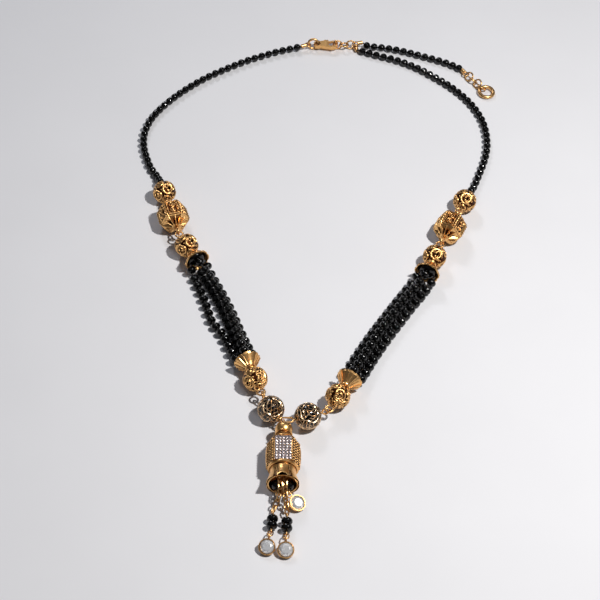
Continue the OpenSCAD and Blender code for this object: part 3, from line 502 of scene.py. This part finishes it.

# %% [markdown]
# Each barrel has six framed panels with a pair of scrolls, and a row of grains along every edge
# between them, which gives the barrel its serrated shadow. At both ends twelve thin spokes run from
# the panels to a small ring, with wells between them; the wells and the low ground take the darker
# gold, a painted shade that stands for dark openings. A plain tube is spun first, with many rings
# and steps, and then every corner moves in or out to the height of the relief.

# %% Barrels
BARREL_D, BARREL_LEN, BARREL_FLAT = 10.4, 11.4, 4.5
BARREL_RINGS, BARREL_STEPS = 150, 288
PANEL_HALF, SPOKES_FROM, SPOKES_TO, SPOKE_WIDTH, WELL_DEPTH = 3.35, 3.6, 5.4, 11, 1.6
BARREL_ROWS = [(0, 1), (0.2, 1), (0.3, 0.93), (0.4, 0.72), (0.46, 0.5), (0.5, 0.24)]


def follow(rows, share):
    for (a, ra), (b, rb) in zip(rows, rows[1:]):
        if share <= b:
            return ra + (rb - ra) * (share - a) / (b - a)
    return rows[-1][1]


def flat_curl(x, y, z, radius, start, sweep, steps=60):
    run = []
    for i in range(steps + 1):
        t = i / steps
        a, r = math.radians(start + sweep * t), radius * (1 - 0.75 * t)
        run.append((x + r * math.cos(a), y + r * math.sin(a), z))
    return run


def panel_ridges():
    frame_line = [(-2.9, -1.75, 0), (2.9, -1.75, 0), (2.9, 1.75, 0), (-2.9, 1.75, 0), (-2.9, -1.75, 0)]
    ridges = [(dense(frame_line), 0.3)]
    for end in (-1, 1):
        ridges.append((flat_curl(end * 1.3, 0.1 * end, 0, 1.15, 90 + 90 * end, 470), 0.3))
        ridges.append(([(end * 1.3, 0.1 * end, 0)], 0.3))
        ridges += [([(end * 2.35, side * 1.25, 0)], 0.3) for side in (-1, 1)]
    return ridge_tree(ridges)


def barrel_spot(x, angle, panel):
    off = (math.degrees(angle) + 30) % 60 - 30
    share = abs(x) / BARREL_LEN
    radius = min(BARREL_FLAT / math.cos(math.radians(off)), BARREL_D / 2) * follow(BARREL_ROWS, share)
    across = radius * math.sin(math.radians(off))
    if abs(x) < PANEL_HALF:
        height = ridge_height(panel, Vector((x, across, 0)))
        grain_row = 1 - min(1, (30 - abs(off)) / 4.5) ** 2
        height = max(height, math.sqrt(grain_row) * (0.55 + 0.45 * abs(math.cos(math.pi * x / 1.2))))
        return radius - 0.3 + 0.52 * height, height < 0.25
    spoke = abs((off + 15) % 30 - 15) * radius
    if spoke < SPOKE_WIDTH or not SPOKES_FROM <= abs(x) <= SPOKES_TO:
        return radius + 0.05 - 0.12 * min(1, spoke / SPOKE_WIDTH) ** 2, False
    return max(radius - WELL_DEPTH, 0.9), True


def barrel_relief():
    panel, low = panel_ridges(), set()
    outline = [(BARREL_LEN * (i / BARREL_RINGS - 0.5), BARREL_D / 2) for i in range(BARREL_RINGS + 1)]
    shape = bmesh.new()
    shape.from_mesh(turned_mesh(outline, BARREL_STEPS))
    for corner in shape.verts:
        angle = math.atan2(corner.co.y, corner.co.z)
        radius, is_low = barrel_spot(corner.co.x, angle, panel)
        corner.co.y, corner.co.z = radius * math.sin(angle), radius * math.cos(angle)
        if is_low:
            low.add(corner.index)
    for face in shape.faces:
        # Low ground and wells take the darker gold, a painted shade.
        face.material_index = 1 if sum(corner.index in low for corner in face.verts) > 2 else 0
    bmesh.ops.holes_fill(shape, edges=shape.edges[:], sides=0)
    return as_mesh(shape)


barrel = barrel_relief()
for node, heading in (("left_barrel", -74.5), ("right_barrel", -114.5)):
    whole = bmesh.new()
    add_shape(whole, barrel, placing(middle_of(node), heading))
    make_piece(node + "_openwork", whole, [antique_gold, painted_shade_gold], [node], crease=70)

# %% [markdown]
# The flared caps are cast as eight petals. A raised rib runs down each petal, and a thin roll of
# metal finishes the scalloped rim. One flat black bead sits in each mouth, where the strands meet,
# and closes the view into the cap.

# %% Ribs and rims of the caps
CAP_START, CAP_LEN, CAP_R = 3.85, 4.5, 4.4
MOUTH_BEAD_R, MOUTH_BEAD_T, MOUTH_BEAD_AT = 3.05, 1.5, 3.65
CAP_ROWS = [(0, 0.4), (0.12, 0.37), (0.26, 0.41), (0.46, 0.55), (0.68, 0.75), (0.88, 0.94), (1, 1)]
CAPS = {"left_upper_cap": ("left_mid_ball", -62), "left_lower_cap": ("left_low_ball", 109),
        "right_upper_cap": ("right_mid_ball", -111), "right_lower_cap": ("right_low_ball", 62)}


def cap_ribs(node, ball, heading):
    place = placing(middle_of(ball), heading)
    ribs, veins = [], []
    for k in range(16):
        a = math.tau * k / 16
        first, last = (0.12, 0.97) if k % 2 == 0 else (0.3, 0.8)
        run = []
        for i in range(11):
            share = first + (last - first) * i / 10
            r = min(follow(CAP_ROWS, share) * CAP_R + 0.06, CAP_R - 0.2)
            run.append((CAP_START + share * CAP_LEN, r * math.sin(a), r * math.cos(a)))
        (ribs if k % 2 == 0 else veins).append(run)
    whole = bmesh.new()
    add_shape(whole, wire_mesh(ribs, 0.2), place)
    add_shape(whole, wire_mesh(veins, 0.12), place)
    rim = ring_points(CAP_R - 0.35, CAP_START + CAP_LEN - 0.12, 64, 0.12, 8)
    add_shape(whole, wire_mesh([rim], 0.22, closed=True), place)
    add_shape(whole, wire_mesh([ring_points(CAP_R * 0.39, CAP_START + 0.65, 24)], 0.2, closed=True), place)
    make_piece(node + "_ribs", whole, [antique_gold])
    bead = bmesh.new()
    bmesh.ops.create_uvsphere(bead, u_segments=40, v_segments=24, radius=1)
    bmesh.ops.scale(bead, vec=(MOUTH_BEAD_T, MOUTH_BEAD_R, MOUTH_BEAD_R), verts=bead.verts)
    seat = Matrix.Translation((CAP_START + MOUTH_BEAD_AT, 0, 0))
    bmesh.ops.transform(bead, matrix=place @ seat, verts=bead.verts)
    make_piece(node + "_mouth_bead", bead, [black_glass])


for node, (ball, heading) in CAPS.items():
    cap_ribs(node, ball, heading)

# %% [markdown]
# The two large balls are black under a raised gold net with cells like leaves. The net starts as a
# ball of triangles, neighbours are joined in pairs to diamonds, the corners are shaken a little, and
# the wireframe operator turns the edges into strips of metal.

# %% Netted black balls
NET_R, CORE_R, NET_WIRE, NET_SHAKE = 4.4, 4.2, 0.32, 0.22


def netted_ball(node, seed, merged):
    rng = random.Random(seed)
    net = bmesh.new()
    bmesh.ops.create_icosphere(net, subdivisions=3, radius=NET_R - 0.15)
    bmesh.ops.join_triangles(net, faces=net.faces, angle_face_threshold=3.1, angle_shape_threshold=3.1)
    spare = [e for e in net.edges if rng.random() < merged]
    bmesh.ops.dissolve_edges(net, edges=spare, use_verts=False)
    for corner in net.verts:
        shake = Vector((rng.uniform(-1, 1), rng.uniform(-1, 1), rng.uniform(-1, 1))) * NET_SHAKE
        corner.co = (corner.co + shake).normalized() * (NET_R - 0.15)
    bmesh.ops.wireframe(net, faces=net.faces, thickness=NET_WIRE, use_even_offset=True, use_replace=True,
                        use_boundary=True)
    for corner in net.verts:
        corner.co *= min(1, (NET_R - 0.02) / corner.co.length)
    strips = as_mesh(net)
    whole = bmesh.new()
    place = placing(middle_of(node), rng.uniform(0, 360), rng.uniform(-40, 40))
    add_shape(whole, strips, place)
    for corner in whole.verts:
        corner.co.z = max(corner.co.z, 0.01)
    make_piece(node + "_net", whole, [net_gilt], [node], crease=60)
    core = bmesh.new()
    bmesh.ops.create_uvsphere(core, u_segments=48, v_segments=24, radius=CORE_R)
    bmesh.ops.transform(core, matrix=Matrix.Translation(middle_of(node)), verts=core.verts)
    make_piece(node + "_core", core, [black_glass], [node])


netted_ball("left_black_ball", 11, 0.02)
netted_ball("right_black_ball", 5, 0.08)

# %% [markdown]
# The pendant is a six-sided drum. Its front panel is paved with clear stones in a grey setting, and
# the panels beside it carry rows of gold grains over a ground of darker gold, a painted shade between
# the grains. Below the drum a bell flares out, with fine ribs and shallow flutes, their grooves in
# painted shade.

# %% Pendant
PENDANT_AT, PENDANT_HEADING = (-12.465, -69.587, 4.847), -90.5
DRUM_FROM, DRUM_LEN, DRUM_R, DRUM_FLAT = 7.85, 11.5, 5.4, 4.677
BELL_FROM, BELL_LEN, BELL_R = 19.35, 5.6, 4.75
STONE_LEAN, BELL_RIBS = 0.06, 24
DRUM_ROWS = [(0.02, 0.68), (0.12, 0.86), (0.24, 0.96), (0.38, 1), (0.66, 1), (0.95, 0.95)]
BELL_ROWS = [(0, 0.8), (0.35, 0.8), (0.62, 0.87), (0.82, 0.95), (1, 1)]
pendant_place = placing(PENDANT_AT, PENDANT_HEADING)


def drum_spots(columns, rows, width):
    for i in range(rows):
        for j in range(columns):
            share = 0.2 + 0.69 * i / (rows - 1)
            yield DRUM_FROM + share * DRUM_LEN, width * (j / (columns - 1) - 0.5)


def brilliant(radius, crown, pavilion, table=0.56):
    shape = bmesh.new()
    for z, share, count, offset in ((crown, table, 8, 0), (crown * 0.55, 0.82, 8, 0.5), (0, 1, 16, 0),
                                    (-crown * 0.12, 1, 16, 0), (-pavilion * 0.6, 0.52, 8, 0.5),
                                    (-pavilion, 0.06, 8, 0)):
        turn = Matrix.Translation((0, 0, z)) @ Matrix.Rotation(math.tau * offset / count, 4, "Z")
        bmesh.ops.create_circle(shape, segments=count, radius=radius * share, matrix=turn)
    hull = bmesh.ops.convex_hull(shape, input=shape.verts)
    bmesh.ops.delete(shape, geom=list(set(hull["geom_interior"] + hull["geom_unused"])), context="VERTS")
    bmesh.ops.dissolve_limit(shape, angle_limit=0.01, verts=shape.verts, edges=shape.edges)
    shape.normal_update()
    for face in shape.faces:
        face.material_index = 1 if face.calc_center_median().z < -crown * 0.1 else 0
    return as_mesh(shape)


def pave():
    stones, grains = bmesh.new(), bmesh.new()
    rng = random.Random(3)
    stone, seed, prong = brilliant(0.46, 0.12, 0.14), grain_mesh(0.37), grain_mesh(0.16)
    for x, y in drum_spots(5, 8, 4.3):
        lean = Matrix.Rotation(rng.uniform(-STONE_LEAN, STONE_LEAN), 4, "X")
        lean = lean @ Matrix.Rotation(rng.uniform(-STONE_LEAN, STONE_LEAN), 4, "Y")
        add_shape(stones, stone, pendant_place @ Matrix.Translation((x, y, DRUM_FLAT)) @ lean)
        for side in (-0.5, 0.5):
            spot = Matrix.Translation((x + 0.57, y + side * 1.075, DRUM_FLAT - 0.03))
            add_shape(grains, prong, pendant_place @ spot)
    for x, y in drum_spots(4, 9, 3.3):
        for roll in (-120, -60, 60, 120):
            face = Matrix.Rotation(math.radians(roll), 4, "X")
            add_shape(grains, seed, pendant_place @ face @ Matrix.Translation((x, y, DRUM_FLAT + 0.06)))
    make_piece("pendant_pave_stones", stones, [pave_crystal, foil], crease=1)
    make_piece("pendant_grains", grains, [antique_gold])
    plates = bmesh.new()
    for roll, width in ((0, 5.2), (60, 4.4), (-60, 4.4), (120, 4.4), (-120, 4.4)):
        plate = bmesh.ops.create_cube(plates, size=1)["verts"]
        bmesh.ops.scale(plates, vec=(DRUM_LEN * 0.8, width, 0.1), verts=plate)
        for face in {f for corner in plate for f in corner.link_faces}:
            # The side grounds take the darker gold, a painted shade between the grains.
            face.material_index = 0 if roll == 0 else 1
        turn = Matrix.Rotation(math.radians(roll), 4, "X")
        bmesh.ops.transform(plates, verts=plate, matrix=pendant_place @ turn
                            @ Matrix.Translation((DRUM_FROM + 0.54 * DRUM_LEN, 0, DRUM_FLAT - 0.03)))
    make_piece("pendant_panel_grounds", plates, [grey_plating, painted_shade_gold])


def pendant_edges():
    whole, edges = bmesh.new(), []
    for k in range(6):
        a = math.radians(60 * k + 30)
        run = []
        for i in range(13):
            share = 0.06 + 0.88 * i / 12
            r = follow(DRUM_ROWS, share) * DRUM_R - 0.1
            run.append((DRUM_FROM + share * DRUM_LEN, r * math.sin(a), r * math.cos(a)))
        edges.append(run)
    add_shape(whole, wire_mesh(edges, 0.22), pendant_place)
    rings = [ring_points(2.55, 5.2, 32), ring_points(3.8, DRUM_FROM + 0.3, 40),
             ring_points(3.85, BELL_FROM + 0.6, 48)]
    add_shape(whole, wire_mesh(rings, 0.28, closed=True), pendant_place)
    band = [ring_points(4.33, BELL_FROM - 0.35, 64)]
    add_shape(whole, wire_mesh(band, 0.46, closed=True, resolution=3), pendant_place)
    ribs = []
    for k in range(BELL_RIBS):
        a, run = math.tau * k / BELL_RIBS, []
        for i in range(21):
            share = 0.1 + 0.04 * i
            r = follow(BELL_ROWS, share) * BELL_R
            run.append((BELL_FROM + share * BELL_LEN, (r + 0.2) * math.sin(a), (r + 0.06) * math.cos(a)))
        ribs.append(run)
    add_shape(whole, wire_mesh(ribs, 0.14), pendant_place)
    make_piece("pendant_edges", whole, [antique_gold])


def fluted_bell():
    outline = [(BELL_FROM + 0.05 + share * (BELL_LEN - 0.1), follow(BELL_ROWS, share) * BELL_R + 0.02)
               for share in [i / 24 for i in range(25)]]
    shape = bmesh.new()
    shape.from_mesh(turned_mesh(outline, 144))
    for corner in shape.verts:
        r, a = math.hypot(corner.co.y, corner.co.z), math.atan2(corner.co.y, corner.co.z)
        share = (corner.co.x - BELL_FROM) / BELL_LEN
        petal = math.sqrt(abs(math.cos(3 * a)))
        grown = (r + 0.04 + petal * (0.1 + 0.25 * share)) / r
        corner.co.y, corner.co.z = corner.co.y * grown, corner.co.z * grown
    bmesh.ops.solidify(shape, geom=shape.faces[:], thickness=0.1)
    for corner in shape.verts:
        corner.co.z = max(-4.8, min(4.8, corner.co.z))
    for face in shape.faces:
        middle = face.calc_center_median()
        # The grooves between the flutes take the darker gold, a painted shade.
        face.material_index = 1 if abs(math.cos(3 * math.atan2(middle.y, middle.z))) < 0.22 else 0
    bmesh.ops.transform(shape, matrix=pendant_place, verts=shape.verts)
    make_piece("pendant_bell_flutes", shape, [antique_gold, painted_shade_gold])


pave()
pendant_edges()
fluted_bell()

# %% [markdown]
# Two short cable chains hang from eyes inside the bell. The solids keep each as a tube along its
# course, and here the links are made: ovals that pass through each other and turn by a quarter.

# %% Tassel chains
LINK_L, LINK_W, LINK_WIRE, EYE_TO_LINK = 3.0, 2.1, 0.52, 1.47
CHAINS = {
    "tassel_chain_left": [(-13.745, -90.227, 6.347), (-13.671, -92.196, 6.385), (-13.476, -94.73, 6.247),
                          (-13.336, -96.822, 5.136), (-14.104, -99.312, 3.493), (-15.521, -101.9, 1.85),
                          (-15.61, -103.063, 1.8)],
    "tassel_chain_right": [(-11.545, -90.246, 6.347), (-11.653, -92.213, 6.385), (-11.892, -94.743, 6.247),
                           (-11.969, -96.763, 5.136), (-11.744, -99.615, 3.493), (-11.36, -102.9, 1.85),
                           (-11.34, -104.056, 1.8)],
}


def oval_points(length, width, steps=10):
    r, half = width / 2, (length - width) / 2
    angles = [(end, math.radians(start + 180 * i / steps)) for end, start in ((1, -90), (-1, 90))
              for i in range(steps + 1)]
    return [(end * half + r * math.cos(a), r * math.sin(a), 0) for end, a in angles]


def chain(node, points):
    course = smooth_run(points, 6)
    marks = [0.0]
    for a, b in zip(course, course[1:]):
        marks.append(marks[-1] + (b - a).length)
    link = wire_mesh([oval_points(LINK_L - LINK_WIRE, LINK_W - LINK_WIRE)], LINK_WIRE / 2, closed=True)
    room = marks[-1] - 2 * EYE_TO_LINK
    gaps = math.ceil(room / (LINK_L - 2 * LINK_WIRE))
    whole = bmesh.new()
    for k in range(gaps + 1):
        s = EYE_TO_LINK + room * k / gaps
        back, ahead = place_on(course, marks, s - 0.9), place_on(course, marks, s + 0.9)
        aim = ahead - back
        heading, climb = math.degrees(math.atan2(aim.y, aim.x)), math.degrees(math.asin(aim.z / aim.length))
        add_shape(whole, link, placing((back + ahead) / 2, heading, climb, 45 + 90 * (k % 2)))
    print(node, "links:", gaps + 1, "pitch:", round(room / gaps, 2))
    make_piece(node + "_links", whole, [gold_wire], [node])


for node, points in CHAINS.items():
    chain(node, points)

# %% [markdown]
# Each drop is a bezel cup with a round brilliant. The stone is the hull of a few rings of points:
# table, crown, girdle and pavilion, which gives flat facets that meet in sharp edges.

# %% Stones of the drops
DROPS = {"left": ((-17.366, -115.936, 2.173), -102), "right": ((-11.674, -117.074, 2.173), -92),
         "short": ((-8.069, -99.449, 2.173), -40)}
DROP_TILT, CUP_D = 28, 5.2


def drop_stone(side, at, heading):
    place = placing(at, heading, -DROP_TILT)
    stone = bmesh.new()
    add_shape(stone, brilliant(2.25, 0.8, 0.85), place @ Matrix.Translation((0, 0, -0.25)))
    node = "drop_stone_" + side
    make_piece(node + "_cut", stone, [crystal, foil], [node], crease=1)
    rim = bmesh.new()
    circle = [(y, z, 0.0) for _, y, z in ring_points(CUP_D / 2 - 0.2, 0, 40)]
    add_shape(rim, wire_mesh([circle], 0.17, closed=True), place)
    make_piece("drop_cup_" + side + "_rim", rim, [gold_wire])


for side, (at, heading) in DROPS.items():
    drop_stone(side, at, heading)

# %% [markdown]
# The floor is a plain pale card. A small lamp near by at the right throws clear shadows to the left,
# and a soft box behind gives the upper faces their highlights. The sky above is brighter overhead and
# dim near the horizon, which gives the gold its dark reflections.

# %% Floor and light
def floor_finish():
    material, tree, shader, coords = finish("matt pale card", Roughness=0.75)
    fibre = add(tree, "ShaderNodeTexNoise", {"Vector": coords, "Scale": grain(40), "Detail": 3.0})
    fibre = fibre.outputs["Fac"]
    colour = add(tree, "ShaderNodeMix", {"Factor": fibre, 6: linear("#dedee1"), 7: linear("#e4e4e7")},
                 data_type="RGBA")
    tree.links.new(colour.outputs[2], shader.inputs["Base Color"])
    return material


floor_shape = bmesh.new()
bmesh.ops.create_grid(floor_shape, x_segments=1, y_segments=1, size=1.5)
floor_mesh = as_mesh(floor_shape)
floor_mesh.materials.append(floor_finish())
floor = bpy.data.objects.new("floor", floor_mesh)
scene.collection.objects.link(floor)


def lamp(name, at, size, power, colour):
    data = bpy.data.lights.new(name, "AREA")
    data.shape, data.size, data.energy, data.color = "DISK", size, power, linear(colour)[:3]
    item = bpy.data.objects.new(name, data)
    item.location = at
    item.rotation_euler = (LOOK_AT - Vector(at)).to_track_quat("-Z", "Y").to_euler()
    scene.collection.objects.link(item)


lamp("key lamp", (0.23, -0.1, 0.47), 0.03, 2.65, "#fffdfa")
lamp("soft box", (-0.25, 0.72, 0.64), 0.2, 2.0, "#f6f8ff")
world = bpy.data.worlds.new("studio")
scene.world = world
world.use_nodes = True
sky = world.node_tree
direction = add(sky, "ShaderNodeTexCoord").outputs["Generated"]
height = add(sky, "ShaderNodeSeparateXYZ", {"Vector": direction}).outputs["Z"]
glow = add(sky, "ShaderNodeMapRange",
           {"Value": height, "From Min": 0.1, "From Max": 0.9, "To Min": 0.03, "To Max": 0.15})
sky.nodes["Background"].inputs["Color"].default_value = linear("#e9edf8")
sky.links.new(glow.outputs["Result"], sky.nodes["Background"].inputs["Strength"])
scene.view_settings.view_transform = "Standard"
